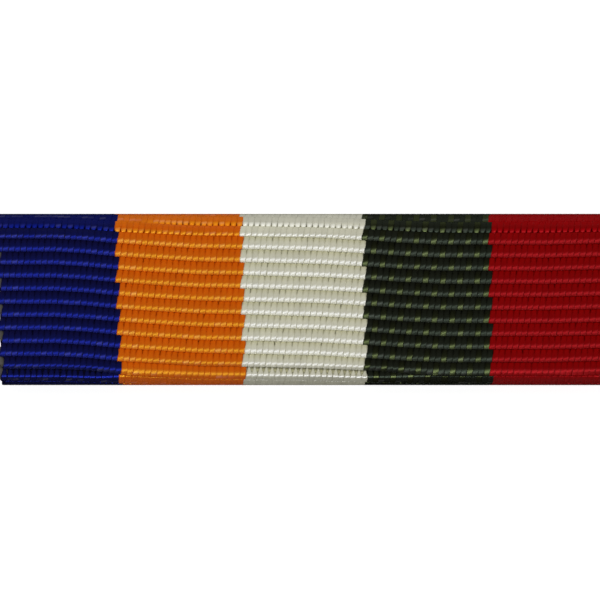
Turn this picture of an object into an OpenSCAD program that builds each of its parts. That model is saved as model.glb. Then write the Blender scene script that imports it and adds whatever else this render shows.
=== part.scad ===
// Ribbon bar: a ribbed ribbon in five stripes, wound round a thin sheet-metal channel that
// slides on to a rail. It lies on its back: +Z is the front, +X runs along the bar from the
// first stripe to the last, and +Y is up. The origin is at the middle of the back. Millimetres.

/* [Bar] */
// Length of the bar, which is the ribbon's width from selvedge to selvedge
bar_length = 34.925; // [28:0.025:45]
// Height of the bar, over the ribbon
bar_height = 9.8; // [8:0.1:14]
// Clear depth of the channel, from the web to the lips
channel_depth = 0.9; // [0.6:0.05:1.6]

/* [Ribbon] */
// Thickness of the ribbon, from the crest of a rib to the inner face
ribbon_thickness = 1.0; // [0.8:0.05:1.3]
// Width of each of the middle stripes; the end ones share what is left
stripe_width = 7.13; // [5:0.01:8]
// Distance from one rib to the next, along their crests
rib_pitch = 0.745; // [0.6:0.005:1]
// Depth of the grooves between the ribs
rib_depth = 0.2; // [0.1:0.01:0.3]
// How far above the middle of the front the middle rib starts, at the first selvedge
rib_rise = 0.17; // [0:0.01:0.4]
// How far the ribs drop from there to the last stripe, because the ribbon was wound on askew
rib_drop = 1.1; // [0:0.05:1.3]
// How far the ribbon's cut ends reach in over the back, from the bar's long edges
flap_reach = 2.5; // [2:0.1:3.2]

/* [Backing plate] */
// Thickness of the sheet metal
sheet_thickness = 0.25; // [0.2:0.01:0.35]
// Inner radius of the folds along the long edges
fold_radius = 0.05; // [0.03:0.01:0.15]
// How far the lips show past the ribbon's cut ends
lip_margin = 0.3; // [0.1:0.05:0.5]
// How far each end of the plate stops short of the selvedge
end_inset = 0.2; // [0.1:0.05:0.5]

/* [Fit] */
// Gap between the ribbon and the plate
wrap_gap = 0.05; // [0.03:0.01:0.1]

/* [Hidden] */
$fn = 64;

// Columns of the stripe table, and one row for each stripe from the first to the last
COLOUR = 0;
DROPPED = 1; // share of rib_drop that the ribs have dropped by at the stripe's far border
STRIPES = [
    ["#141850", 0.23],
    ["#BC6312", 0.57],
    ["#E3E2D8", 0.77],
    ["#20261C", 1.00],
    ["#7A0910", 0.97]
];
FACETS_PER_RIB = 4;

// Radii of one long edge, from the plate's inner fold out to the ribs' crests
fold_outer = fold_radius + sheet_thickness;
edge_radius = fold_outer + wrap_gap + ribbon_thickness;
// From the bar's outer face to the plate, and the bar's whole thickness
plate_depth = ribbon_thickness + wrap_gap;
bar_thickness = 2 * (plate_depth + sheet_thickness) + channel_depth;
plate_height = bar_height - 2 * plate_depth;
plate_thickness = bar_thickness - 2 * plate_depth;
slot_height = bar_height - 2 * (flap_reach + lip_margin);

// The ribbon's way round the bar, as lengths along the crests from the middle of the front
flat_half = bar_height / 2 - edge_radius;
edge_arc = edge_radius * PI / 2;
front_end = flat_half + edge_arc;
side_end = front_end + bar_thickness - 2 * edge_radius;
back_start = side_end + edge_arc;
cut_end = back_start + flap_reach - edge_radius;

// Where a stripe starts and ends along the bar
function border(i) =
    let (end_width = (bar_length - (len(STRIPES) - 2) * stripe_width) / 2)
    i == 0 ? -bar_length / 2 :
    i == len(STRIPES) ? bar_length / 2 :
    -bar_length / 2 + end_width + (i - 1) * stripe_width;
function drop_at(i) = (i == 0 ? 0 : rib_drop * STRIPES[i - 1][DROPPED]) - rib_rise;

// A point [y, z] of the wound ribbon: way is its length along the crests from the middle of
// the front, upwards if positive, and depth its distance in from the crests
function degrees(arc) = arc / edge_radius * 180 / PI;
function upper_point(way, depth) =
    let (r = edge_radius - depth)
    way < flat_half ? [way, bar_thickness - depth] :
    way < front_end ?
        let (a = degrees(way - flat_half))
        [flat_half + r * sin(a), bar_thickness - edge_radius + r * cos(a)] :
    way < side_end ? [bar_height / 2 - depth, bar_thickness - edge_radius - way + front_end] :
    way < back_start ?
        let (a = degrees(way - side_end))
        [flat_half + r * cos(a), edge_radius - r * sin(a)] :
    [flat_half - way + back_start, depth];
function wound_point(way, depth) =
    let (p = upper_point(abs(way), depth))
    way < 0 ? [-p[0], p[1]] : p;

// The ribs are whole on the front and the edges, and fade out before the flat of the back
function ribbing(way) = min(1, max(0, (back_start - abs(way)) / edge_arc));
function groove(way) =
    let (t = way / rib_pitch, off_crest = 2 * abs(t - round(t)))
    rib_depth * ribbing(way) * off_crest * off_crest;

// The ribbon's section at a stripe's border: its outer line, then its inner line
facet = rib_pitch / FACETS_PER_RIB;
rib_facets = floor(back_start / facet - 0.5);
WAYS = concat(
    [-cut_end, -back_start],
    [for (k = [-rib_facets : rib_facets]) k * facet],
    [back_start, cut_end]
);
function section(i) = [
    for (inner = [false, true]) for (way = WAYS)
        let (
            moved = way - drop_at(i) * ribbing(way),
            p = wound_point(moved, inner ? ribbon_thickness : groove(way))
        )
        [border(i), p[0], p[1]]
];

// The closed skin between two sections of count + count points
function skin(count) = concat(
    [for (k = [0 : count - 2]) [k, k + 1, 2 * count + k + 1, 2 * count + k]],
    [for (k = [0 : count - 2]) [count + k + 1, count + k, 3 * count + k, 3 * count + k + 1]],
    [for (k = [0 : count - 2]) [k + 1, k, count + k, count + k + 1]],
    [for (k = [0 : count - 2])
        [2 * count + k, 2 * count + k + 1, 3 * count + k + 1, 3 * count + k]],
    [[0, 2 * count, 3 * count, count]],
    [[count - 1, 2 * count - 1, 4 * count - 1, 3 * count - 1]]
);

// One woven ribbon, with a band of each colour across its width
module ribbon() {
    for (i = [0 : len(STRIPES) - 1])
        color(STRIPES[i][COLOUR])
            polyhedron(concat(section(i), section(i + 1)), skin(len(WAYS)), convexity = 10);
}

// A rectangle about the origin with round corners
module round_rectangle(width, height, radius) {
    square([width - 2 * radius, height], center = true);
    square([width, height - 2 * radius], center = true);
    for (x = [-1, 1], y = [-1, 1])
        translate([x * (width / 2 - radius), y * (height / 2 - radius)])
            circle(radius);
}

// The channel's section, x up the bar and y towards the front
module channel_section() {
    difference() {
        round_rectangle(plate_height, plate_thickness, fold_outer);
        round_rectangle(plate_height - 2 * sheet_thickness,
            plate_thickness - 2 * sheet_thickness, fold_radius);
        translate([0, -plate_thickness / 2])
            square([slot_height, plate_thickness], center = true);
    }
}

// Thin sheet metal with its long edges turned over, open along the back for the rail
module backing_plate() {
    color("#C9A24B")
        translate([0, 0, bar_thickness / 2])
            rotate([90, 0, 90])
                linear_extrude(bar_length - 2 * end_inset, center = true)
                    channel_section();
}

ribbon();
backing_plate();
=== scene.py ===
# %% [markdown]
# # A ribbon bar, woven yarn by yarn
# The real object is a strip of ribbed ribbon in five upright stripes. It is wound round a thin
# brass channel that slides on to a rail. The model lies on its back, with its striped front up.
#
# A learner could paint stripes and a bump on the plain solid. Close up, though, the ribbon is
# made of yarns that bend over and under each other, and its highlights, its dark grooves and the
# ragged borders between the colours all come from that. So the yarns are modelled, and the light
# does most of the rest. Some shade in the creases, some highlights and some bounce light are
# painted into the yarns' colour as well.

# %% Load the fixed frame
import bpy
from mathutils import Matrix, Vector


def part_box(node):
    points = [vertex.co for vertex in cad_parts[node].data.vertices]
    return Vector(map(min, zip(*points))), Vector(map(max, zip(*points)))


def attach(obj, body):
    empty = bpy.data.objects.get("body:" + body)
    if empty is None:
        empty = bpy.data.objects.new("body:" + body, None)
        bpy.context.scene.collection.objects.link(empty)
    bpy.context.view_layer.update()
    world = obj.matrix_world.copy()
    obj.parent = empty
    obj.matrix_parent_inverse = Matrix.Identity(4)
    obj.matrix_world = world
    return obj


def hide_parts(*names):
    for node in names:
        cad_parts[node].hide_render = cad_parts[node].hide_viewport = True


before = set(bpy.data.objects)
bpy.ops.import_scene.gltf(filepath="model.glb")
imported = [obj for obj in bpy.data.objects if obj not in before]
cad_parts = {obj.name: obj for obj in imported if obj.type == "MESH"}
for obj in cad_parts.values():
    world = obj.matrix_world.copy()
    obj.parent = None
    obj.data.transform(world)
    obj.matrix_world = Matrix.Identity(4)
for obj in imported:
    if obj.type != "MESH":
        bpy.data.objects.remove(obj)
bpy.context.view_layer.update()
print("pieces in the frame:", sorted(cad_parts))

# %% Import what the script needs
import math

import bpy
from mathutils import Matrix, Vector

# %% [markdown]
# ## Sizes
# Blender counts in metres, and this bar is only 35 mm long, so every size is written as so many
# millimetres. What a box round a piece of the frame can tell is measured from it. The gap round
# the channel, the channel's folds and the reach of the ribbon's ends are written down, and so are
# the sizes of the weave. Bent cloth is longer outside than along its middle, so one function
# gives its length for either.

# %% Measure the frame
MM = 0.001
ribbon_low, ribbon_high = (Vector(corner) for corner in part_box("ribbon"))
plate_low = Vector(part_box("backing_plate")[0])
bar_length = ribbon_high.x - ribbon_low.x
bar_height = ribbon_high.y - ribbon_low.y
bar_thickness = ribbon_high.z - ribbon_low.z
wrap_gap = 0.05 * MM
ribbon_thickness = plate_low.z - ribbon_low.z - wrap_gap
plate_fold_radius = 0.3 * MM
edge_radius = plate_fold_radius + wrap_gap + ribbon_thickness
flap_reach = 2.5 * MM
flat_half = bar_height / 2 - edge_radius
print("bar in mm:", [round(size / MM, 3) for size in (bar_length, bar_height, bar_thickness)])
print("ribbon thickness in mm:", round(ribbon_thickness / MM, 3))


# %% Work out how long the ribbon is
def length_round_bar(turn_radius):
    """The ribbon's length between its cut ends, along a line that turns with this radius."""
    side = bar_thickness - 2 * edge_radius
    flap = flap_reach - edge_radius
    return 2 * flat_half + 2 * side + 2 * flap + 4 * turn_radius * math.pi / 2


crest_length = length_round_bar(edge_radius)
cloth_length = length_round_bar(edge_radius - ribbon_thickness / 2)
print("cloth in mm:", round(bar_length / MM, 2), "by", round(cloth_length / MM, 2))

# %% Set the sizes of the weave
rib_pitch = 0.751 * MM
rib_rise = 0.109 * MM
rib_drop = 1.1 * MM
yarn_spacing = 0.168 * MM
yarn_half_thickness = 0.07 * MM
weave_height = ribbon_thickness / 2 - yarn_half_thickness
selvedge = 0.015 * MM
print("ribs on the front:", round(bar_height / rib_pitch, 1))

# %% [markdown]
# ## The stripes
# A short table says what each stripe is. The three middle ones differ a little in width, as woven
# stripes do, and the two end ones share what is left. The number of warp yarns in a stripe
# follows from its width, and it is kept even, so that the over and under of the weave carries on
# across a border.
#
# Three columns hold colours: the yarn's own, the one painted into a crease as its shade and
# bounce light, and the tint of its highlight. `last_gap` says how far the yarns part at the last
# rib before the lower edge, which differs from stripe to stripe. `painted_edge_shade` paints the
# flat band round the long edges darker where it is below zero and lighter where it is above, as
# painted shade and painted light, and `painted_sparkle` is how much painted white some highlights
# have.

# %% List the stripes
orange_width = 7.15 * MM
white_width = 6.99 * MM
green_width = 7.23 * MM
end_width = (bar_length - orange_width - white_width - green_width) / 2
# The edge shade column is painted shade below zero and painted light above it.
STRIPES = [
    {"name": "navy", "width": end_width, "last_gap": 0.7, "painted_edge_shade": -0.12, "painted_sparkle": 0.06,
     "yarn": "#0D0F38", "crease": "#0E0C2C", "gloss": "#0021B0"},
    {"name": "orange", "width": orange_width, "last_gap": 0.15, "painted_edge_shade": -0.08,
     "painted_sparkle": 0.12, "yarn": "#B84E08", "crease": "#BD5002", "gloss": "#CDAA20"},
    {"name": "white", "width": white_width, "last_gap": 1.0, "painted_edge_shade": -0.24,
     "painted_sparkle": 0.0, "yarn": "#BAB8A4", "crease": "#B1AE8D", "gloss": "#DEE0E7"},
    {"name": "green", "width": green_width, "last_gap": 0.4, "painted_edge_shade": 0.0,
     "painted_sparkle": 0.06, "yarn": "#161811", "crease": "#14150F", "gloss": "#424E42"},
    {"name": "red", "width": end_width, "last_gap": 0.3, "painted_edge_shade": 0.05, "painted_sparkle": 0.0,
     "yarn": "#700405", "crease": "#7C0202", "gloss": "#A00010"},
]
start = -bar_length / 2
for stripe in STRIPES:
    stripe["start"] = start
    stripe["yarns"] = 2 * round(stripe["width"] / yarn_spacing / 2)
    start += stripe["width"]
print("warp yarns:", {stripe["name"]: stripe["yarns"] for stripe in STRIPES})

# %% Mix olive yarns into the green stripe
# The olive yarns' crease colour is painted shade too.
OLIVE = {"yarn": "#14150B", "crease": "#12120B", "gloss": "#7C8C57"}
olive_every = 3
print("olive yarns: one in", olive_every)


# %% [markdown]
# ## Helpers for node trees
# A node tree is a formula drawn as boxes and wires. Written in code, the boxes soon hide the
# formula. So a small class stands for a value in a tree, and writing `a + b` with it adds the Math
# node that does the sum. The same class serves Geometry Nodes and materials.

# %% Write formulas as nodes
def plug(tree, value, socket):
    """Feeds a socket with another value of the tree, or sets it to a plain number."""
    if isinstance(value, Field):
        tree.links.new(value.socket, socket)
    elif isinstance(value, bpy.types.NodeSocket):
        tree.links.new(value, socket)
    else:
        socket.default_value = value


class Field:
    """A value in a node tree, on which + - * / and ** add Math nodes."""

    def __init__(self, tree, socket):
        self.tree = tree
        self.socket = socket

    def math(self, operation, *others):
        node = self.tree.nodes.new("ShaderNodeMath")
        node.operation = operation
        for value, socket in zip((self, *others), node.inputs):
            plug(self.tree, value, socket)
        return Field(self.tree, node.outputs[0])

    def __add__(self, other):
        return self.math("ADD", other)

    def __sub__(self, other):
        return self.math("SUBTRACT", other)

    def __rsub__(self, other):
        return self * -1.0 + other

    def __neg__(self):
        return self * -1.0

    def __mul__(self, other):
        return self.math("MULTIPLY", other)

    def __truediv__(self, other):
        return self.math("DIVIDE", other)

    def __pow__(self, other):
        return self.math("POWER", other)

    def signed_power(self, power):
        """The size of a value raised to a power, with its sign kept."""
        return self.math("ABSOLUTE") ** power * self.math("SIGN")

    def clamped(self):
        """The value kept between 0 and 1."""
        return self.math("MAXIMUM", 0.0).math("MINIMUM", 1.0)

    def ramp(self, start, end):
        """Goes from 0 at the start to 1 at the end; the end may be the smaller number."""
        return ((self - start) / (end - start)).clamped()

    def is_above_zero(self):
        """1 where the value is above zero, and 0 elsewhere."""
        return (self * 1e6).clamped()


# %% Add nodes by name
def add_node(tree, kind, settings=None, **inputs):
    """Adds a node, sets its options, and feeds its inputs; _ in an input's name is a space."""
    node = tree.nodes.new(kind)
    for name, value in (settings or {}).items():
        setattr(node, name, value)
    for name, value in inputs.items():
        wanted = [socket for socket in node.inputs
                  if socket.name == name.replace("_", " ") and socket.enabled]
        plug(tree, value, wanted[0])
    return node


def combine(tree, x=0.0, y=0.0, z=0.0):
    return add_node(tree, "ShaderNodeCombineXYZ", X=x, Y=y, Z=z).outputs[0]


def separate(tree, vector):
    node = add_node(tree, "ShaderNodeSeparateXYZ", Vector=vector)
    return [Field(tree, socket) for socket in node.outputs]


def vector_math(tree, operation, *values, scale=None):
    node = tree.nodes.new("ShaderNodeVectorMath")
    node.operation = operation
    for value, socket in zip(values, node.inputs):
        plug(tree, value, socket)
    if scale is not None:
        plug(tree, scale, node.inputs["Scale"])
    return node.outputs[0]


def shift(tree, place, direction, distance):
    """A place moved by a distance in a direction."""
    step = vector_math(tree, "SCALE", direction, scale=distance)
    return vector_math(tree, "ADD", place, step)


def noise(tree, vector, scale, detail=0.0):
    """Smooth random numbers about zero, from -1 to 1, that are the same on every run."""
    node = add_node(tree, "ShaderNodeTexNoise", Vector=vector, Scale=scale, Detail=detail)
    return Field(tree, node.outputs[0]) * 2.0 - 1.0


# %% Start a tree with named sockets
def new_tree(name, kind, inputs, outputs):
    """A node group with its sockets; gives the tree, its inputs by name, and its output node."""
    tree = bpy.data.node_groups.new(name, kind)
    for label, socket_type, value in inputs:
        socket = tree.interface.new_socket(label, in_out="INPUT", socket_type=socket_type)
        if value is not None:
            socket.default_value = value
    for label, socket_type in outputs:
        tree.interface.new_socket(label, in_out="OUTPUT", socket_type=socket_type)
    given = tree.nodes.new("NodeGroupInput")
    fields = {label: Field(tree, given.outputs[label]) for label, _, _ in inputs}
    return tree, fields, tree.nodes.new("NodeGroupOutput")


# %% Start an object or a material
def add_object(name, data):
    """A new object in the scene, at the origin."""
    added = bpy.data.objects.new(name, data)
    bpy.context.collection.objects.link(added)
    return added


def new_material(name):
    """A material made of nodes; gives it, its tree and its Principled shader."""
    material = bpy.data.materials.new(name)
    material.use_nodes = True
    tree = material.node_tree
    return material, tree, tree.nodes["Principled BSDF"]


def set_inputs(node, **values):
    """Sets inputs of a node to plain values; _ in an input's name is a space."""
    for name, value in values.items():
        node.inputs[name.replace("_", " ")].default_value = value


# %% [markdown]
# ## Where the ribs lie
# Each rib is one thick weft yarn that runs across the ribbon. On this bar the ribs aren't quite
# level: they sink towards the last stripe, curl down a little at the first selvedge, and waver.
# Round the long edges they have also slipped down a little, as cloth does where it is pulled
# over a fold.
#
# Warp and weft both need to know how far a rib has dropped at a given place, so that rule is a
# node group of its own. A Float Curve holds the points of one rib, as read off the ribbon.

# %% List the points of one rib
# Each row holds how far along the bar it is, and the share of the whole drop reached there
RIB_DROPS = [
    (0.0, -0.05), (0.02, -0.15), (0.04, -0.165), (0.07, -0.08), (0.105, 0.03),
    (0.14, 0.09), (0.17, 0.18), (0.2, 0.26), (0.236, 0.34), (0.27, 0.405),
    (0.3, 0.465), (0.335, 0.52), (0.37, 0.535), (0.4, 0.55), (0.433, 0.57),
    (0.466, 0.6), (0.5, 0.62), (0.53, 0.65), (0.565, 0.71), (0.6, 0.77),
    (0.63, 0.83), (0.66, 0.895), (0.7, 0.955), (0.73, 1.0), (0.76, 1.005),
    (0.8, 1.005), (0.86, 1.01), (0.89, 1.005), (0.925, 0.98), (0.96, 0.96),
    (1.0, 0.93),
]
print("points of a rib:", len(RIB_DROPS))

# %% Make the rule for the ribs
waver = 0.015 * MM
waver_length = 4.0 * MM
waver_change = 3.0       # how far apart the noise is read for two ribs, so that each wavers alone
edge_slip = 0.12 * MM
SLIP_STARTS = (3.6 * MM, 4.5 * MM)
SLIP_ENDS = (8.0 * MM, 6.0 * MM)

rib_rule, given, result = new_tree(
    "where the ribs lie", "GeometryNodeTree",
    [("Across", "NodeSocketFloat", 0.0), ("Way", "NodeSocketFloat", 0.0)],
    [("Drop", "NodeSocketFloat")])
share_along = given["Across"] / bar_length + 0.5
curve_node = add_node(rib_rule, "ShaderNodeFloatCurve", Value=share_along)
points = curve_node.mapping.curves[0].points
for place, share in RIB_DROPS[1:-1]:
    points.new(place, share)
points[0].location = RIB_DROPS[0]
points[-1].location = RIB_DROPS[-1]
curve_node.mapping.update()
wander = combine(rib_rule, given["Across"] / MM, given["Way"] / rib_pitch * waver_change)
drop = Field(rib_rule, curve_node.outputs[0]) * rib_drop - rib_rise
off_middle = (given["Way"] - drop).math("ABSOLUTE")
slip = off_middle.ramp(*SLIP_STARTS) * off_middle.ramp(*SLIP_ENDS)
drop = drop + slip * edge_slip + noise(rib_rule, wander, MM / waver_length) * waver
plug(rib_rule, drop, result.inputs["Drop"])
print("rule for the ribs:", len(rib_rule.nodes), "nodes")


# %% Ask the rule for a rib's drop
def drop_of_ribs(tree, across, way):
    """How far the rib that belongs at a way has dropped, at a place across the ribbon."""
    rule = tree.nodes.new("GeometryNodeGroup")
    rule.node_tree = rib_rule
    plug(tree, across, rule.inputs["Across"])
    plug(tree, way, rule.inputs["Way"])
    return Field(tree, rule.outputs["Drop"])


# %% [markdown]
# ## The ribbon's way round the bar
# The ribbon starts at a cut end on the back, turns up over a long edge, crosses the front and
# turns down over the other edge to its second cut end. Six points and one fillet radius describe
# that line. Geometry Nodes rounds the corners and then tells, for any length along the line, the
# place and the direction there. Every yarn is bent by that one line.
#
# A `way`, in the rule above and from here on, is a length along that line from the middle of the
# front, above zero towards the bar's upper edge and below zero towards its lower one.

# %% Draw the line in the bar's end view
half_height = bar_height / 2
cut_end = half_height - flap_reach
CORNERS = [(-cut_end, 0), (-half_height, 0), (-half_height, bar_thickness),
           (half_height, bar_thickness), (half_height, 0), (cut_end, 0)]
line_mesh = bpy.data.meshes.new("wound_line")
line_mesh.from_pydata([(0, y, z) for y, z in CORNERS], [(i, i + 1) for i in range(5)], [])
line = add_object("wound_line", line_mesh)
print("points of the line:", len(line_mesh.vertices))


# %% Round the corners and follow the line in nodes
def rounded_line(tree, line_mesh):
    """The line with its corners rounded, and its whole length."""
    curve = add_node(tree, "GeometryNodeMeshToCurve", Mesh=line_mesh)
    fillet = add_node(tree, "GeometryNodeFilletCurve", {"mode": "POLY"},
                      Curve=curve.outputs[0], Count=24, Radius=edge_radius)
    length = add_node(tree, "GeometryNodeCurveLength", Curve=fillet.outputs[0])
    return fillet.outputs[0], Field(tree, length.outputs[0])


def follow_line(tree, curve, length, way):
    """The place, the direction and the outward normal, a way from the middle of the front."""
    sample = add_node(tree, "GeometryNodeSampleCurve", {"mode": "LENGTH"},
                      Curves=curve, Length=way + length * 0.5)
    place = sample.outputs["Position"]
    tangent = sample.outputs["Tangent"]
    outward = vector_math(tree, "CROSS_PRODUCT", (1.0, 0.0, 0.0), tangent)
    outward = vector_math(tree, "NORMALIZE", outward)
    return place, tangent, outward


# %% [markdown]
# ## The warp
# Warp yarns are the ones that show. They lie side by side along the ribbon, and each goes over
# one rib and under the next, opposite to its neighbours. Over a rib a yarn spreads out until it
# meets the next but one, and in the crease it dives down between its neighbours.
#
# One tube, repeated a couple of hundred times, would be dull to place by hand, so Geometry Nodes
# makes one tube for each yarn and moves every point of it by a formula. The formula is long, so
# it comes in steps: the tubes, the rings of a tube, the zones of the bar, the bend over a rib,
# the yarn's width, and the marks that the material reads.

# %% List the warp tree's inputs
WARP_INPUTS = [
    ("Line", "NodeSocketGeometry", None),
    ("Yarns", "NodeSocketInt", 40),
    ("Start", "NodeSocketFloat", 0.0),
    ("Width", "NodeSocketFloat", 7 * MM),
    ("Rib pitch", "NodeSocketFloat", rib_pitch),
    ("Weave height", "NodeSocketFloat", weave_height),
    ("Half thickness", "NodeSocketFloat", yarn_half_thickness),
    ("Groove depth", "NodeSocketFloat", 0.17 * MM),
    ("Roundness", "NodeSocketFloat", 1.8),
    ("Slant", "NodeSocketFloat", 0.08 * MM),
    ("Tilt", "NodeSocketFloat", 0.0168),
    ("Tilt change", "NodeSocketFloat", -0.68),
    ("Sides", "NodeSocketInt", 8),
    ("Rings", "NodeSocketInt", 260),
    ("Sway", "NodeSocketFloat", 0.01 * MM),
    ("Lean", "NodeSocketFloat", 0.02 * MM),
    ("Last gap", "NodeSocketFloat", 1.0),
    ("Seed", "NodeSocketFloat", 1.0),
    ("Material", "NodeSocketMaterial", None),
    ("Every", "NodeSocketFloat", 1.0),
    ("Other material", "NodeSocketMaterial", None),
]
print("inputs of the warp tree:", len(WARP_INPUTS))


# %% Read and store values on the points of a mesh
def read_attribute(tree, name, data_type="FLOAT"):
    return add_node(tree, "GeometryNodeInputNamedAttribute", {"data_type": data_type},
                    Name=name).outputs[0]


def store_attribute(tree, geometry, name, value):
    return add_node(tree, "GeometryNodeStoreNamedAttribute", {"data_type": "FLOAT"},
                    Geometry=geometry, Name=name, Value=value).outputs[0]


def store_map(tree, geometry, value):
    """Stores a flat map of the surface, under the name that baked textures use."""
    return add_node(tree, "GeometryNodeStoreNamedAttribute",
                    {"data_type": "FLOAT2", "domain": "CORNER"},
                    Geometry=geometry, Name="OFBake", Value=value).outputs[0]


# %% Make one straight tube for each yarn
def lay_tubes(tree, given):
    """Equal tubes that stand on one spot; each point knows the number of its yarn."""
    tube = add_node(tree, "GeometryNodeMeshCylinder", {"fill_type": "NGON"},
                    Vertices=given["Sides"], Side_Segments=given["Rings"], Radius=1.0, Depth=1.0)
    turned = add_node(tree, "GeometryNodeTransform", Geometry=tube.outputs["Mesh"],
                      Rotation=combine(tree, z=given["Sides"] ** -1.0 * math.pi))
    mapped = store_map(tree, turned.outputs[0], tube.outputs["UV Map"])
    points = add_node(tree, "GeometryNodePoints", Count=given["Yarns"])
    number = add_node(tree, "GeometryNodeInputIndex").outputs[0]
    numbered = store_attribute(tree, points.outputs[0], "yarn", number)
    copies = add_node(tree, "GeometryNodeInstanceOnPoints", Points=numbered, Instance=mapped)
    tubes = add_node(tree, "GeometryNodeRealizeInstances", Geometry=copies.outputs[0])
    return tubes.outputs[0], Field(tree, read_attribute(tree, "yarn"))


# %% [markdown]
# ### The rings of a tube
# A tube bends only where it has a ring of points, so each rib gets exactly ten rings, also where
# the ribs run askew. If two rings fell together or one was skipped, that yarn would show a dark
# nick. The rings are drawn close to the crease, where a yarn turns most sharply.

# %% Number the rings from rib to rib
RINGS_PER_RIB = 10


def place_rings(tree, given, middle, along):
    """How many ribs lie behind a ring, which crease is near it, and the ribs' drop there."""
    first = drop_of_ribs(tree, middle, 0.0) * RINGS_PER_RIB / given["Rib pitch"]
    ring = (along * given["Rings"]).math("ROUND")
    ribs_passed = (ring + first.math("FLOOR") + 0.5) / RINGS_PER_RIB
    drop = drop_of_ribs(tree, middle, ribs_passed * given["Rib pitch"])
    crease = ribs_passed.math("FLOOR") + 0.5
    ribs_passed = crease + (ribs_passed - crease).signed_power(2.0) * 2.0
    return ribs_passed, crease, drop


# %% [markdown]
# ### The zones of the bar
# On the flat front every rib is alike. Towards the long edges that changes within a millimetre.
# As the ribbon bends, the grooves deepen by the lower edge and flatten by the upper one. Then the
# last creases close, and beyond them the yarns are pulled flat into a smooth band. Each zone is a
# pair of ways, and a value goes from 0 to 1 between the two.

# %% Set where each zone begins and ends
BEND_BEGINS = (flat_half, flat_half + 0.45 * MM)
YARNS_TIGHT = (4.38 * MM, 4.53 * MM)
TOP_CREASES_CLOSE = (4.38 * MM, 4.5 * MM)
BOTTOM_CREASES_CLOSE = (4.24 * MM, 4.44 * MM)
LAST_RIB = (4.05 * MM, 4.35 * MM)
SWELL_STARTS = (4.2 * MM, 5.2 * MM)
SWELL_ENDS = (7.5 * MM, 6.5 * MM)
PAINTED_BAND_LIGHT_STARTS = (4.2 * MM, 4.5 * MM)


def find_zones(given, yarn, ribs_passed, crease, drop):
    """What the later steps ask about a point: each is 0 to 1, or as its note says."""
    rib = (ribs_passed + 0.5).math("FLOOR")
    off_rib = ribs_passed - rib
    way = ribs_passed * given["Rib pitch"] - drop
    from_middle = way.math("ABSOLUTE")
    at_top = way.is_above_zero()
    upper = off_rib.is_above_zero()
    edge = from_middle.ramp(*BEND_BEGINS)
    tight = from_middle.ramp(*YARNS_TIGHT)
    crease_way = (crease * given["Rib pitch"] - drop).math("ABSOLUTE")
    closed_top = crease_way.ramp(*TOP_CREASES_CLOSE)
    closed_bottom = crease_way.ramp(*BOTTOM_CREASES_CLOSE)
    closed = closed_top * at_top + closed_bottom * (1.0 - at_top)
    rib_way = (rib * given["Rib pitch"] - drop).math("ABSOLUTE")
    last = rib_way.ramp(*LAST_RIB) * (1.0 - at_top) * (1.0 - tight) * (1.0 - closed) ** 2.0
    return {
        "way": way,                                       # metres
        "from middle": from_middle,                       # metres
        "off rib": off_rib,                               # -0.5 to 0.5, in ribs
        "share": off_rib.math("ABSOLUTE") * 2.0,          # 0 on top of a rib, 1 in its crease
        "side": ((rib + yarn) * math.pi).math("COSINE"),  # 1 over the rib, -1 under it
        "at top": at_top,                                 # 1 in the upper half of the bar
        "upper": upper,                                   # 1 where a rib faces up the bar
        "edge": edge,                                     # 1 where the ribbon bends
        "tight": tight,                                   # 1 in the smooth band
        "closed": closed,                                 # 1 where the crease has closed
        "tip": at_top * edge * (1.0 - upper) * (1.0 - closed),
        "last": last * given["Last gap"],
    }


# %% [markdown]
# ### The bend over a rib
# A plain sine wave would leave deep open grooves. In a tight weave the ribs are shallow curves
# that meet in a crease, and in that crease a yarn plunges straight down. So the height falls off
# as a power of the share of the way to the crease, and the yarn swaps sides right at the crease.

# %% Bend a yarn over and under
deeper_at_bottom = 0.45
shallower_at_top = 0.6
closing = 0.95


def bend_over_rib(given, zone):
    """The height of a yarn's outer face above the middle of the cloth, and its tilt."""
    roundness = given["Roundness"]
    step = zone["upper"] * (1.0 - zone["at top"]) * given["Last gap"] * deeper_at_bottom
    step = step - zone["at top"] * shallower_at_top
    depth = (zone["closed"] * -closing + 1.0) * given["Groove depth"]
    depth = depth * (zone["edge"] * step + 1.0)
    lift = -(zone["share"] ** roundness * depth)
    lift = (lift + given["Weave height"] + given["Half thickness"]) * zone["side"]
    slope = zone["share"] ** (roundness - 1.0) * roundness * depth
    slope = slope * zone["off rib"].math("SIGN") * zone["side"] * -2.0 / given["Rib pitch"]
    return lift, slope.math("ARCTANGENT")


# %% [markdown]
# ### The yarn's width, and its small faults
# A yarn's section is a circle pressed into a rounded box, so that neighbours leave no holes. Where
# a rib faces up the bar, its yarns are narrower, plumper and rounder, and can be told apart. By
# the upper edge they end in plump tips, and by the lower one they taper like tongues, most of all
# in the white stripe.
#
# No two real yarns lie alike. Smooth noise, read at a place that depends on the yarn, the rib and
# a fixed seed, moves each one sideways a little and changes its width. The larger the step from
# yarn to yarn, the less alike are neighbours.

# %% Make each yarn stray
# Each row holds the steps from yarn to yarn, from rib to rib and from seed to seed
SWAY_STEPS = (3.7, 0.9, 9.1)
LEAN_STEPS = (0.4, 1.9, 3.3)
BREADTH_STEPS = (5.3, 0.6, 7.7)
noise_gain = 1.6         # smooth noise seldom goes past 0.6, and this brings it to about 1


def unrest(tree, given, yarn, ribs_passed, steps):
    """Smooth noise that differs from yarn to yarn and changes from rib to rib."""
    place = combine(tree, yarn * steps[0], ribs_passed * steps[1], given["Seed"] * steps[2])
    return noise(tree, place, 1.0)


def sway_of_yarn(tree, given, yarn, ribs_passed, zone):
    """How far a yarn's middle lies aside, with its slant from crease to crease."""
    sway = unrest(tree, given, yarn, ribs_passed, SWAY_STEPS) * noise_gain
    lean = unrest(tree, given, yarn, ribs_passed, LEAN_STEPS) * noise_gain
    slant = zone["off rib"] * zone["side"] * given["Slant"]
    return sway * given["Sway"] + lean * given["Lean"] + slant


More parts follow.
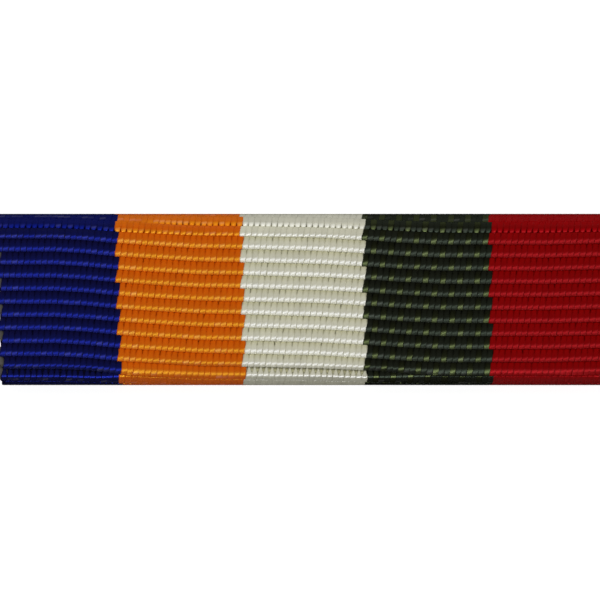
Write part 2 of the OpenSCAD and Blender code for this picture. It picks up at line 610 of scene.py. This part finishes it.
# %% Shape a yarn's section
spread = 1.22            # half of a yarn's width, in spacings
breadth_change = 0.03
plump_on_front = 0.4
plump_at_tip = 1.3
plump_at_last_rib = 0.4
tongue_taper = 0.75
tongue_power = 1.3
narrowed_when_plump = 0.35
thicker_when_plump = 1.5
box_width_power = 0.5    # 1 keeps the circle, and a lower power presses it into a box
box_height_power = 0.45
rounder_by = 0.4


def section_of_yarn(tree, given, yarn, ribs_passed, zone, around_x, around_y):
    """How far a point lies beside its yarn's middle, and above the yarn's outer face."""
    upper, share, last = zone["upper"], zone["share"], zone["last"]
    off_top = share.ramp(0.0, 0.5)
    plump = upper * off_top * (1.0 - zone["edge"]) * plump_on_front
    plump = plump + zone["tip"] * share * plump_at_tip + last * upper * off_top * plump_at_last_rib
    tongue = last * upper * share ** tongue_power * tongue_taper
    breadth = unrest(tree, given, yarn, ribs_passed, BREADTH_STEPS) * breadth_change + 1.0
    spacing = given["Width"] / given["Yarns"]
    half_width = spacing * (plump * -narrowed_when_plump + spread - tongue) * breadth
    half_thickness = given["Half thickness"] * (plump * thicker_when_plump + 1.0)
    rounder = upper * off_top * (1.0 - zone["tight"])
    beside = around_x.signed_power(rounder * rounder_by + box_width_power) * half_width
    above = around_y.signed_power(plump + box_height_power) * half_thickness
    return beside, above - zone["side"] * half_thickness


# %% [markdown]
# ### Marks for the material
# Some of a yarn's look depends on its place in the weave, which only this tree knows. So each
# point carries five marks, which place light and shade that is painted into the colour. `crease`
# is strongest deep in a crease, where a rib faces up the bar, and there the material paints shade.
# `painted_glint` lies on the tips by the upper edge, and faintly on the band above them; it paints
# a highlight on the tips and light on the band. `painted_bounce_light` is where a rib faces the
# strip light, close to the crease, and paints there the light that would come back from the next
# rib. `painted_highlight_place` follows the highlight, halfway between the top of a rib and its
# crease, and places painted white on it.
# `band` covers the smooth band round the long edges, where the edge shade is painted and where the
# yarn is a little less rough.

# %% Mark each point
# These numbers shape the painted shade, highlights and bounce light that the marks place.
painted_crease_shade_power = 1.4
painted_crease_shade_fades_by = 0.8    # where the ribbon bends
painted_bounce_light_fades_by = 0.7      # where it bends by the lower edge
painted_band_light_strength = 0.2
PAINTED_GLINT_STARTS = (0.35, 0.6)
PAINTED_BOUNCE_LIGHT_STARTS = (0.5, 1.0)
PAINTED_HIGHLIGHT_FADES = (0.3, 0.05)
BAND_STARTS = (0.2, 0.5333)


def mark_points(tree, geometry, zone):
    share, upper, edge, tight = (zone[name] for name in ("share", "upper", "edge", "tight"))
    lower = 1.0 - upper
    # Painted light on the band round the upper edge.
    painted_band_light = zone["from middle"].ramp(*PAINTED_BAND_LIGHT_STARTS) * zone["at top"]
    # Painted bounce light by the crease, where a rib faces the strip light.
    painted_bounce_light = lower * share.ramp(*PAINTED_BOUNCE_LIGHT_STARTS) * (1.0 - tight)
    marks = {
        # Painted shade, deep in a crease where a rib faces up the bar.
        "crease": share ** painted_crease_shade_power * upper * (edge * -painted_crease_shade_fades_by + 1.0),
        # A painted highlight on the tips, and the band's painted light.
        "painted_glint": zone["tip"] * share.ramp(*PAINTED_GLINT_STARTS) + painted_band_light * painted_band_light_strength,
        "painted_bounce_light": painted_bounce_light * (edge * (zone["at top"] - 1.0) * painted_bounce_light_fades_by + 1.0),
        # Where a painted white highlight goes, on the real highlight.
        "painted_highlight_place": lower * (share - 0.5).math("ABSOLUTE").ramp(*PAINTED_HIGHLIGHT_FADES),
        "band": (zone["closed"] * share.ramp(*BAND_STARTS)).math("MAXIMUM", tight),
    }
    for name, value in marks.items():
        geometry = store_attribute(tree, geometry, name, value)
    return geometry


# %% [markdown]
# ### Putting the steps together
# The yarn's middle line is known now, and so is where each point of the tube lies round it. One
# node moves all points there. Over the long edges the ribbon swells by a few hundredths of a
# millimetre, and its yarns run a little askew round the bar, as on one that is wound by hand.
# After that the flat map is spread out, so that each yarn has a column of its own.

# %% Place each point
swell_height = 0.03 * MM
ring_skew = 0.8          # sets the rings askew where a rib faces down, so its highlights slant


def place_points(tree, given, geometry, curve, length, yarn, tube_place):
    around_x, around_y, along = tube_place
    middle = given["Start"] + given["Width"] / given["Yarns"] * (yarn + 0.5)
    ribs_passed, crease, drop = place_rings(tree, given, middle, along)
    zone = find_zones(given, yarn, ribs_passed, crease, drop)
    lift, tilt = bend_over_rib(given, zone)
    beside, above = section_of_yarn(tree, given, yarn, ribs_passed, zone, around_x, around_y)
    from_middle = zone["from middle"]
    swell = from_middle.ramp(*SWELL_STARTS) * from_middle.ramp(*SWELL_ENDS)
    height = lift - given["Weave height"] - given["Half thickness"]
    height = height + above * tilt.math("COSINE") + swell * swell_height
    forward = -(above * tilt.math("SINE"))
    share = zone["share"]
    forward = forward + beside * (1.0 - zone["upper"]) * share * (1.0 - share) * ring_skew
    askew = -((middle * given["Tilt change"] + given["Tilt"]) * zone["way"])
    across = middle + askew + sway_of_yarn(tree, given, yarn, ribs_passed, zone) + beside
    place, tangent, outward = follow_line(tree, curve, length, zone["way"])
    place = shift(tree, place, outward, height)
    place = shift(tree, place, tangent, forward)
    place = vector_math(tree, "ADD", place, combine(tree, across))
    marked = mark_points(tree, geometry, zone)
    return add_node(tree, "GeometryNodeSetPosition", Geometry=marked, Position=place).outputs[0]


# %% Spread out the flat map
side_top = 0.5001        # a new tube has its side in the lower half of the map, its ends above
side_stretch = 1.92
end_shrink = 0.06
end_start = 0.94
column_margin = 0.05


def spread_map(tree, given, geometry, yarn):
    """Gives each yarn a column of the map, with its two ends at the top of the column."""
    old_map = read_attribute(tree, "OFBake", "FLOAT_VECTOR")
    across, up, _ = separate(tree, old_map)
    is_end = up.math("GREATER_THAN", side_top)
    column = (yarn + across * (1.0 - 2 * column_margin) + column_margin) / given["Yarns"]
    row = up * side_stretch * (1.0 - is_end) + (up * end_shrink + end_start) * is_end
    return store_map(tree, geometry, combine(tree, column, row))


# %% Build the warp's node tree
nearly_nothing = 0.01


def build_warp_tree():
    tree, given, result = new_tree("warp yarns", "GeometryNodeTree", WARP_INPUTS,
                                   [("Geometry", "NodeSocketGeometry")])
    curve, length = rounded_line(tree, given["Line"])
    tubes, yarn = lay_tubes(tree, given)
    tube_place = separate(tree, add_node(tree, "GeometryNodeInputPosition").outputs[0])
    bent = place_points(tree, given, tubes, curve, length, yarn, tube_place)
    mapped = spread_map(tree, given, bent, yarn)
    smooth = add_node(tree, "GeometryNodeSetShadeSmooth", Geometry=mapped)
    dressed = add_node(tree, "GeometryNodeSetMaterial", Geometry=smooth.outputs[0],
                       Material=given["Material"])
    is_other = (yarn / given["Every"]).math("FRACT").math("LESS_THAN", nearly_nothing)
    dressed = add_node(tree, "GeometryNodeSetMaterial", Geometry=dressed.outputs[0],
                       Selection=is_other, Material=given["Other material"])
    plug(tree, dressed.outputs[0], result.inputs[0])
    return tree


warp_tree = build_warp_tree()
print("warp tree:", len(warp_tree.nodes), "nodes")


# %% Turn a tree's result into a plain piece
def grow(name, line, tree, values):
    """Runs a tree on the wound line and keeps what it makes as a plain mesh."""
    modifier = line.modifiers.new(tree.name, "NODES")
    modifier.node_group = tree
    for item in tree.interface.items_tree:
        if item.item_type == "SOCKET" and item.in_out == "INPUT" and item.name in values:
            modifier[item.identifier] = values[item.name]
    line.update_tag()
    graph = bpy.context.evaluated_depsgraph_get()
    mesh = bpy.data.meshes.new_from_object(line.evaluated_get(graph))
    line.modifiers.remove(modifier)
    mesh.name = name
    triangles = sum(len(face.vertices) - 2 for face in mesh.polygons)
    print(name, "triangles:", triangles)
    return add_object(name, mesh)


# %% [markdown]
# ## The yarns' colour and gloss
# Dyed rayon yarn is a bundle of fine glossy filaments. Its highlight takes on the dye, because
# much of that light has been inside the filaments, so the specular tint is a brighter cousin of
# the yarn's colour. The effect that all yarns share is a node group: fine streaks along the yarn,
# a small change of shade from yarn to yarn, a slow mottling over the cloth, and the painted shade
# and light that the marks add. Some highlights also get a touch of painted white, a painted
# highlight on top of the real one.
#
# In the smooth band the filaments lie stretched side by side, so a yarn is less rough there.

# %% Read a colour's code
def linear(code):
    """A colour such as #1A2B3C as the linear numbers that Blender wants."""
    shades = [int(code[i:i + 2], 16) / 255 for i in (1, 3, 5)]
    return [*(s / 12.92 if s < 0.04045 else ((s + 0.055) / 1.055) ** 2.4 for s in shades), 1.0]


print("white yarn:", [round(level, 3) for level in linear(STRIPES[2]["yarn"])[:3]])


# %% Build the shared effect of filaments
STREAKS_PER_YARN = (14.0, 34.0)
STREAKS_ALONG = (26.0, 60.0)
streak_share = 0.35
fine_share = 0.2
dye_share = 0.3
mottle_share = 0.3
mottle_scale = 900.0
yarn_change = 7.3        # how far apart the noise is read for two yarns
painted_bounce_light_strength = 0.3
painted_glint_strength = 0.36
yarn_roughness = 0.4
band_polish = 0.15


def build_filament_group():
    tree, given, result = new_tree(
        "filaments", "ShaderNodeTree",
        [("Color", "NodeSocketColor", (0.5, 0.5, 0.5, 1.0)),
         ("Crease color", "NodeSocketColor", (0.3, 0.3, 0.3, 1.0)),
         ("Gloss color", "NodeSocketColor", (1.0, 1.0, 1.0, 1.0)),
         ("Yarns", "NodeSocketFloat", 40.0),
         # Edge shade paints the band: shade below zero, light above.
         ("Edge shade", "NodeSocketFloat", 0.0),
         ("Sparkle", "NodeSocketFloat", 0.0),
         ("Contrast", "NodeSocketFloat", 0.25)],
        [("Color", "NodeSocketColor"), ("Roughness", "NodeSocketFloat"),
         ("Height", "NodeSocketFloat")])
    uv = add_node(tree, "ShaderNodeUVMap", {"uv_map": "OFBake"})
    across, up, _ = separate(tree, uv.outputs[0])
    across = across * given["Yarns"]
    yarn = across.math("FLOOR")
    wide_place, fine_place = (combine(tree, across * per_yarn, up * along)
                              for per_yarn, along in zip(STREAKS_PER_YARN, STREAKS_ALONG))
    streaks = noise(tree, wide_place, 1.0, 2.0)
    fine = noise(tree, fine_place, 1.0, 1.0)
    dye = add_node(tree, "ShaderNodeTexWhiteNoise", {"noise_dimensions": "1D"}, W=yarn)
    dye = Field(tree, dye.outputs[0]) - 0.5
    place = add_node(tree, "ShaderNodeTexCoord").outputs["Object"]
    mottle = noise(tree, place, mottle_scale, 2.0)
    marks = {}
    for name in ("crease", "painted_glint", "painted_bounce_light", "painted_highlight_place", "band"):
        mark = add_node(tree, "ShaderNodeAttribute", {"attribute_name": name})
        marks[name] = Field(tree, mark.outputs["Fac"])

    shade = streaks * streak_share + fine * fine_share + dye * dye_share + mottle * mottle_share
    shade = shade * given["Contrast"] + 1.0
    # Painted bounce light near a crease, and on the band the edge shade: painted shade below zero,
    # painted light above.
    shade = shade * (marks["painted_bounce_light"] * painted_bounce_light_strength + marks["band"] * given["Edge shade"] + 1.0)
    # The crease colour, mixed in by the crease mark, is painted shade and bounce light.
    mixed = add_node(tree, "ShaderNodeMix", {"data_type": "RGBA"},
                     Factor=marks["crease"], A=given["Color"], B=given["Crease color"])
    colour = vector_math(tree, "SCALE", mixed.outputs["Result"], scale=shade)
    # A painted highlight on the tips by the upper edge, and painted light on the band above them.
    colour = shift(tree, colour, given["Gloss color"], marks["painted_glint"] * painted_glint_strength)
    # Painted white on some highlights, where the highlight mark lies.
    spot = combine(tree, yarn * yarn_change, up * STREAKS_ALONG[1])
    painted_sparkle = noise(tree, spot, 1.0).math("MAXIMUM", 0.0)
    colour = shift(tree, colour, (1.0, 1.0, 1.0), painted_sparkle * marks["painted_highlight_place"] * given["Sparkle"])
    plug(tree, colour, result.inputs["Color"])
    plug(tree, marks["band"] * -band_polish + yarn_roughness, result.inputs["Roughness"])
    plug(tree, streaks * 0.7 + fine * 0.3, result.inputs["Height"])
    return tree


filament_group = build_filament_group()
print("filament group:", len(filament_group.nodes), "nodes")


# %% Build a yarn material
def yarn_material(name, look):
    """A material for the yarns of a stripe, from its row of the table."""
    material, tree, shader = new_material(name)
    group = tree.nodes.new("ShaderNodeGroup")
    group.node_tree = filament_group
    set_inputs(group, Color=linear(look["yarn"]), Crease_color=linear(look["crease"]),
               Gloss_color=linear(look["gloss"]), Yarns=look["yarns"],
               Edge_shade=look["painted_edge_shade"], Sparkle=look["painted_sparkle"])
    bump = add_node(tree, "ShaderNodeBump", Height=group.outputs["Height"],
                    Distance=0.01 * MM, Strength=0.6)
    tree.links.new(group.outputs["Color"], shader.inputs["Base Color"])
    tree.links.new(bump.outputs[0], shader.inputs["Normal"])
    tree.links.new(group.outputs["Roughness"], shader.inputs["Roughness"])
    set_inputs(shader, IOR=1.6, Specular_Tint=linear(look["gloss"]))
    return material


# %% Grow the warp of each stripe
warps = []
for stripe in STRIPES:
    material = yarn_material("yarn_" + stripe["name"], stripe)
    other = material
    if stripe["name"] == "green":
        other = yarn_material("yarn_olive", {**stripe, **OLIVE})
    inset = selvedge if stripe in (STRIPES[0], STRIPES[-1]) else 0.0
    at_start = selvedge if stripe is STRIPES[0] else 0.0
    warps.append(grow("ribbon_warp_" + stripe["name"], line, warp_tree, {
        "Yarns": stripe["yarns"],
        "Start": stripe["start"] + at_start,
        "Width": stripe["width"] - inset,
        "Last gap": stripe["last_gap"],
        "Material": material,
        "Every": 1.0 if other is material else float(olive_every),
        "Other material": other,
    }))

# %% [markdown]
# ## The weft
# The weft is one thick soft yarn that runs to and fro across the ribbon and turns round at each
# selvedge. It hardly shows, apart from those turns and what glints between the warp yarns, but it
# is what the ribs are made of, and from the ends of the bar it is plain to see.
#
# A tree lays one long curve through all its passes. Its points count how many passes lie behind
# them: the whole part of that number is the pass, and the rest is how far across it has come.

# %% List the weft tree's inputs
WEFT_INPUTS = [
    ("Line", "NodeSocketGeometry", None),
    ("Passes", "NodeSocketInt", 25),
    ("Steps", "NodeSocketInt", 60),
    ("Rib pitch", "NodeSocketFloat", rib_pitch),
    ("Radius", "NodeSocketFloat", 0.29 * MM),
    ("Depth", "NodeSocketFloat", ribbon_thickness / 2),
    ("Material", "NodeSocketMaterial", None),
]
straight_share = 0.88
turn_bow = 0.3
print("inputs of the weft tree:", len(WEFT_INPUTS))


# %% Send the weft to and fro
def weft_route(tree, given):
    """How far across the ribbon a point of the weft lies, and the way of its rib."""
    index = Field(tree, add_node(tree, "GeometryNodeInputIndex").outputs[0])
    passes = index / given["Steps"]
    whole = passes.math("FLOOR")
    part = passes - whole
    going = (part / straight_share).math("MINIMUM", 1.0)
    turning = ((part - straight_share) / (1.0 - straight_share)).math("MAXIMUM", 0.0)
    heading = (whole * math.pi).math("COSINE")
    bow = (turning * math.pi).math("SINE") * given["Rib pitch"] * turn_bow
    reach = bar_length / 2 - selvedge - turn_bow * rib_pitch
    across = heading * ((going * 2.0 - 1.0) * reach + bow)
    rounded_turn = (turning * -math.pi).math("COSINE") * -0.5 + 0.5
    nominal = (whole + rounded_turn - given["Passes"] * 0.5 + 0.5) * given["Rib pitch"]
    return across, nominal - drop_of_ribs(tree, across, nominal)


# %% Build the weft's node tree
def build_weft_tree():
    tree, given, result = new_tree("weft yarn", "GeometryNodeTree", WEFT_INPUTS,
                                   [("Geometry", "NodeSocketGeometry")])
    curve, length = rounded_line(tree, given["Line"])
    straight = add_node(tree, "GeometryNodeCurvePrimitiveLine")
    laid = add_node(tree, "GeometryNodeResampleCurve", {"mode": "COUNT"},
                    Curve=straight.outputs[0], Count=given["Passes"] * given["Steps"])
    across, way = weft_route(tree, given)
    limit = length * 0.5 - given["Radius"]
    way = way.math("MINIMUM", limit).math("MAXIMUM", -limit)
    place, _, outward = follow_line(tree, curve, length, way)
    place = shift(tree, place, outward, -given["Depth"])
    place = vector_math(tree, "ADD", place, combine(tree, across))
    bent = add_node(tree, "GeometryNodeSetPosition", Geometry=laid.outputs[0], Position=place)
    profile = add_node(tree, "GeometryNodeCurvePrimitiveCircle", {"mode": "RADIUS"},
                       Resolution=8, Radius=given["Radius"])
    tube = add_node(tree, "GeometryNodeCurveToMesh", Curve=bent.outputs[0],
                    Profile_Curve=profile.outputs[0], Fill_Caps=True)
    smooth = add_node(tree, "GeometryNodeSetShadeSmooth", Geometry=tube.outputs[0])
    real = add_node(tree, "GeometryNodeRealizeInstances", Geometry=smooth.outputs[0])
    dressed = add_node(tree, "GeometryNodeSetMaterial", Geometry=real.outputs[0],
                       Material=given["Material"])
    plug(tree, dressed.outputs[0], result.inputs[0])
    return tree


weft_tree = build_weft_tree()
print("weft tree:", len(weft_tree.nodes), "nodes")

# %% [markdown]
# ### The weft's colour
# Light that reaches the weft has passed between coloured yarns, so under each stripe the weft's
# colour is painted with that bounce light: a slightly brighter tone of the stripe's crease colour,
# itself painted shade. A Color Ramp along the bar does that. In the turns at the two selvedges it
# keeps its own grey brown.

# %% Build the weft's material
WEFT_GREY = (0.07, 0.065, 0.055, 1.0)
turn_share = 0.01
weft_bounce_gain = 1.18

weft_material, weft_nodes, weft_shader = new_material("yarn_weft")
weft_place = weft_nodes.nodes.new("ShaderNodeTexCoord").outputs["Object"]
weft_shade = noise(weft_nodes, weft_place, 6000.0, 3.0) * 0.25 + 1.0
weft_across = separate(weft_nodes, weft_place)[0] / bar_length + 0.5
ramp_node = add_node(weft_nodes, "ShaderNodeValToRGB", Fac=weft_across)
ramp_node.color_ramp.interpolation = "CONSTANT"
ramp_ends = ramp_node.color_ramp.elements
ramp_ends[0].color = WEFT_GREY
ramp_ends[1].position = 1.0 - turn_share
ramp_ends[1].color = WEFT_GREY
# Under each stripe the weft is painted with bounce light, a brighter tone of the stripe's crease
# colour.
for stripe in STRIPES:
    bounce_tinted_stop = ramp_ends.new(max(turn_share, stripe["start"] / bar_length + 0.5))
    bounce_tinted_stop.color = [*(weft_bounce_gain * level for level in linear(stripe["crease"])[:3]), 1.0]
weft_colour = vector_math(weft_nodes, "SCALE", ramp_node.outputs["Color"], scale=weft_shade)
weft_nodes.links.new(weft_colour, weft_shader.inputs["Base Color"])
set_inputs(weft_shader, Roughness=0.8, Specular_IOR_Level=0.1)
print("steps of the weft's colour:", len(ramp_ends))

# %% Grow the weft
passes = 2 * int(crest_length / 2 / rib_pitch) + 1
weft = grow("ribbon_weft", line, weft_tree, {"Passes": passes, "Material": weft_material})
bpy.data.objects.remove(line)
print("passes of the weft:", passes)

# %% [markdown]
# ## The brass channel
# The channel's shape in the frame is already right, so only its finish is made here. Strip brass
# comes off the rolls with fine lines along its length, and dulls unevenly to brown in the hand.
#
# A fully metallic shader shows nothing but reflections, and here the floor, the world and one
# lamp are kept out of those, as the last section tells. So the brass is left partly plain.

# %% Build the brass
BRIGHT_BRASS = "#D8B25C"
BROWN_BRASS = "#8A6A34"
LINES_ALONG_BAR = (0.03, 1.0, 1.0)
line_scale = 14000.0
tarnish_scale = 260.0
tarnish_contrast = 2.2
tarnish_cut = 0.75
tarnish_strength = 0.7
polished_roughness = 0.26
tarnish_roughness = 0.22
line_roughness = 0.06

brass, brass_nodes, brass_shader = new_material("rolled_brass")
brass_place = brass_nodes.nodes.new("ShaderNodeTexCoord").outputs["Object"]
stretched = vector_math(brass_nodes, "MULTIPLY", brass_place, LINES_ALONG_BAR)
rolled = noise(brass_nodes, stretched, line_scale, 3.0)
tarnish = noise(brass_nodes, brass_place, tarnish_scale, 4.0) * 0.5 + 0.5
tarnish = (tarnish * tarnish_contrast - tarnish_cut).clamped()
brass_mix = add_node(brass_nodes, "ShaderNodeMix", {"data_type": "RGBA"},
                     Factor=tarnish * tarnish_strength,
                     A=linear(BRIGHT_BRASS), B=linear(BROWN_BRASS))
brass_nodes.links.new(brass_mix.outputs["Result"], brass_shader.inputs["Base Color"])
roughness = rolled * line_roughness + tarnish * tarnish_roughness + polished_roughness
plug(brass_nodes, roughness, brass_shader.inputs["Roughness"])
brass_bump = add_node(brass_nodes, "ShaderNodeBump", Height=rolled,
                      Distance=0.004 * MM, Strength=0.5)
brass_nodes.links.new(brass_bump.outputs[0], brass_shader.inputs["Normal"])
set_inputs(brass_shader, Metallic=0.6)
plate = bpy.data.objects["backing_plate"]
plate.data.materials.clear()
plate.data.materials.append(brass)
print("the plate's material:", plate.data.materials[0].name)

# %% [markdown]
# ## What moves with what
# The bar has no joint, so everything rides on its one body. The warp and the weft together stand
# for the frame's plain ribbon, which stays hidden.

# %% Tell the frame about the pieces
for piece in (*warps, weft):
    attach(piece, "root")
    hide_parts("ribbon")
print("pieces that stand for the ribbon:", len(warps) + 1)

# %% [markdown]
# ## Floor, light and camera
# The bar lies on a plain pale floor and is seen from straight above, with its stripes upright. A
# long lens keeps its sides parallel. The light is soft. One long strip light beyond the bar's
# lower edge draws the row of highlights along each rib, so it acts on gloss alone, and a large
# lamp on the other side fills in the rest, without a highlight of its own. The floor and the
# world brighten the bar too, but are kept out of its reflections, which would turn grey.

# %% Lay the floor
half_floor = 1.0
floor_drop = 0.02 * MM
floor_mesh = bpy.data.meshes.new("floor")
floor_mesh.from_pydata(
    [(-half_floor, -half_floor, 0), (half_floor, -half_floor, 0),
     (half_floor, half_floor, 0), (-half_floor, half_floor, 0)], [], [(0, 1, 2, 3)])
floor_mesh.transform(Matrix.Translation((0, 0, -floor_drop)))
floor = add_object("floor", floor_mesh)
floor_material, _, floor_shader = new_material("pale_floor")
set_inputs(floor_shader, Base_Color=(0.25, 0.25, 0.25, 1.0), Roughness=0.9,
           Emission_Color=(1.0, 1.0, 1.0, 1.0), Emission_Strength=0.86)
floor_material.cycles.emission_sampling = "NONE"    # it isn't aimed at like a lamp
floor_mesh.materials.append(floor_material)
floor.visible_glossy = False


# %% Hang the lamps
def soft_light(name, place, size, power):
    """A rectangular lamp that faces the bar."""
    lamp = bpy.data.lights.new(name, "AREA")
    lamp.shape = "RECTANGLE"
    lamp.size = size[0]
    lamp.size_y = size[1]
    lamp.energy = power
    light = add_object(name, lamp)
    light.location = place
    light.rotation_euler = (-Vector(place)).to_track_quat("-Z", "Y").to_euler()
    return light


strip = soft_light("strip_light", place=(0.0, -0.305, 0.274), size=(0.8, 0.1), power=8.2)
strip.visible_diffuse = False
overhead = soft_light("overhead_light", place=(0.0, 0.363, 0.713), size=(0.7, 0.5), power=4.1)
overhead.visible_glossy = False
print("lamps:", strip.name, overhead.name)

# %% Light the room
world = bpy.data.worlds.new("pale_room")
world.use_nodes = True
set_inputs(world.node_tree.nodes["Background"], Color=(1.0, 1.0, 1.0, 1.0), Strength=0.53)
world.cycles_visibility.glossy = False
bpy.context.scene.world = world
bpy.context.scene.view_settings.view_transform = "Standard"
print("world:", world.name)

# %% Set the camera
view_width = 34.4 * MM
view_distance = 0.5
view_centre = (-0.26 * MM, -0.03 * MM)
camera_data = bpy.data.cameras.new("camera")
camera_data.sensor_width = 36.0
camera_data.lens = camera_data.sensor_width * view_distance / view_width
camera = add_object("camera", camera_data)
camera.location = (*view_centre, bar_thickness + view_distance)
bpy.context.scene.camera = camera
print("lens in mm:", round(camera_data.lens))
